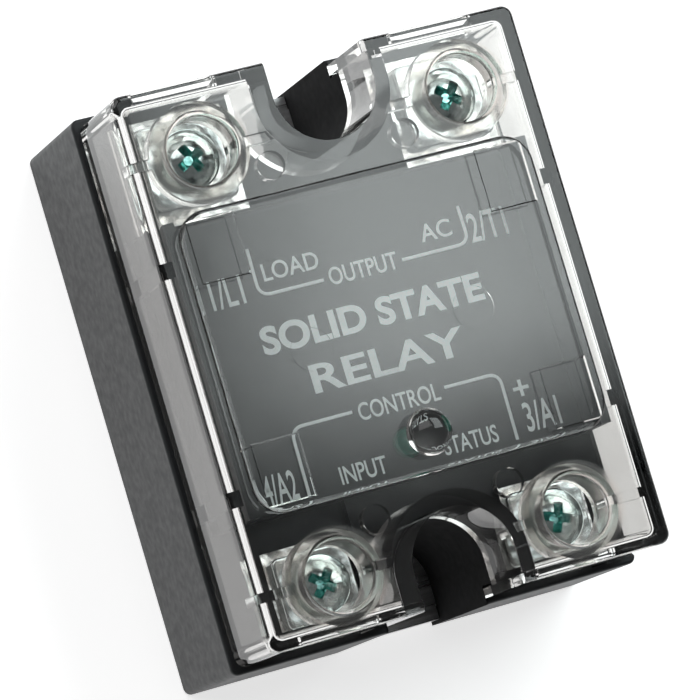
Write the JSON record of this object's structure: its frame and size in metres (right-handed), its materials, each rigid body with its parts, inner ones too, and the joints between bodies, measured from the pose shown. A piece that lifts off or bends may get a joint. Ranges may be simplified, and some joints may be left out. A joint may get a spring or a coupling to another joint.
{
  "type": "solid state relay",
  "caption": "Panel-mount relay block: metal base plate, black housing, clear clip-on cover, screw terminals at both ends and a status lamp.",
  "frame": {"origin": "middle of the mounting face, on the underside of the base plate", "axes": "+Y towards the output (load) terminals, -Y towards the input (control) terminals, +Z out of the mounting face through the printed top, +X to the right when read with the output end away"},
  "size_m": [0.0446, 0.0572, 0.0318],
  "materials": {
    "base_metal": "milled, satin",
    "housing_plastic": "moulded, fine texture",
    "clear_plastic": "clear polycarbonate, polished",
    "copper": "bare copper",
    "ceramic": "fired alumina",
    "silicon": "polished",
    "tinned_metal": "tin plated",
    "clamp_metal": "zinc plated",
    "screw_metal": "zinc plated",
    "potting": "cast resin",
    "board": "solder mask over glass laminate",
    "chip_package": "moulded epoxy",
    "capacitor_case": "moulded box",
    "varistor_coat": "dipped coating",
    "led_lens": "tinted, glossy"
  },
  "bodies": {
    "relay_body": {"base_plate": "base_metal", "housing": "housing_plastic", "substrate_copper_bottom": "copper", "substrate_ceramic": "ceramic", "substrate_copper_top": "copper", "thyristor_dies": "silicon", "die_straps": "copper", "board_pins": "tinned_metal", "potting_compound": "potting", "control_board": "board", "optocoupler": "chip_package", "snubber_capacitor": "capacitor_case", "varistor": "varistor_coat", "chip_resistors": "chip_package", "current_regulator": "chip_package", "status_led": "led_lens", "led_leads": "tinned_metal", "output_terminal_left": "tinned_metal", "output_terminal_right": "tinned_metal", "input_terminal_left": "tinned_metal", "input_terminal_right": "tinned_metal"},
    "cover": {"cover": "clear_plastic"},
    "clamp_output_left": {"clamp_plate_output_left": "clamp_metal"},
    "screw_output_left": {"terminal_screw_output_left": "screw_metal"},
    "clamp_output_right": {"clamp_plate_output_right": "clamp_metal"},
    "screw_output_right": {"terminal_screw_output_right": "screw_metal"},
    "clamp_input_left": {"clamp_plate_input_left": "clamp_metal"},
    "screw_input_left": {"terminal_screw_input_left": "screw_metal"},
    "clamp_input_right": {"clamp_plate_input_right": "clamp_metal"},
    "screw_input_right": {"terminal_screw_input_right": "screw_metal"}
  },
  "joints": [
    {"name": "cover_lift", "type": "slide", "parent": "relay_body", "child": "cover", "axis": [0, 0, 1], "range_m": [0, 0.015]},
    {"name": "clamp_lift_output_left", "type": "slide", "parent": "relay_body", "child": "clamp_output_left", "axis": [0, 0, 1], "range_m": [0, 0.00238]},
    {"name": "screw_turn_output_left", "type": "hinge", "parent": "clamp_output_left", "child": "screw_output_left", "pos_m": [-0.01395, 0.0209, 0.02], "axis": [0, 0, 1], "range_deg": [0, 1080]},
    {"name": "clamp_lift_output_right", "type": "slide", "parent": "relay_body", "child": "clamp_output_right", "axis": [0, 0, 1], "range_m": [0, 0.00238]},
    {"name": "screw_turn_output_right", "type": "hinge", "parent": "clamp_output_right", "child": "screw_output_right", "pos_m": [0.01395, 0.0209, 0.02], "axis": [0, 0, 1], "range_deg": [0, 1080]},
    {"name": "clamp_lift_input_left", "type": "slide", "parent": "relay_body", "child": "clamp_input_left", "axis": [0, 0, 1], "range_m": [0, 0.00238]},
    {"name": "screw_turn_input_left", "type": "hinge", "parent": "clamp_input_left", "child": "screw_input_left", "pos_m": [-0.01275, -0.0224, 0.02], "axis": [0, 0, 1], "range_deg": [0, 1080]},
    {"name": "clamp_lift_input_right", "type": "slide", "parent": "relay_body", "child": "clamp_input_right", "axis": [0, 0, 1], "range_m": [0, 0.00238]},
    {"name": "screw_turn_input_right", "type": "hinge", "parent": "clamp_input_right", "child": "screw_input_right", "pos_m": [0.01275, -0.0224, 0.02], "axis": [0, 0, 1], "range_deg": [0, 1080]}
  ],
  "couplings": [
    {"joint": "screw_turn_output_left", "follows": "clamp_lift_output_left", "rad_per_m": 7915.8},
    {"joint": "screw_turn_output_right", "follows": "clamp_lift_output_right", "rad_per_m": 7915.8},
    {"joint": "screw_turn_input_left", "follows": "clamp_lift_input_left", "rad_per_m": 7915.8},
    {"joint": "screw_turn_input_right", "follows": "clamp_lift_input_right", "rad_per_m": 7915.8}
  ]
}
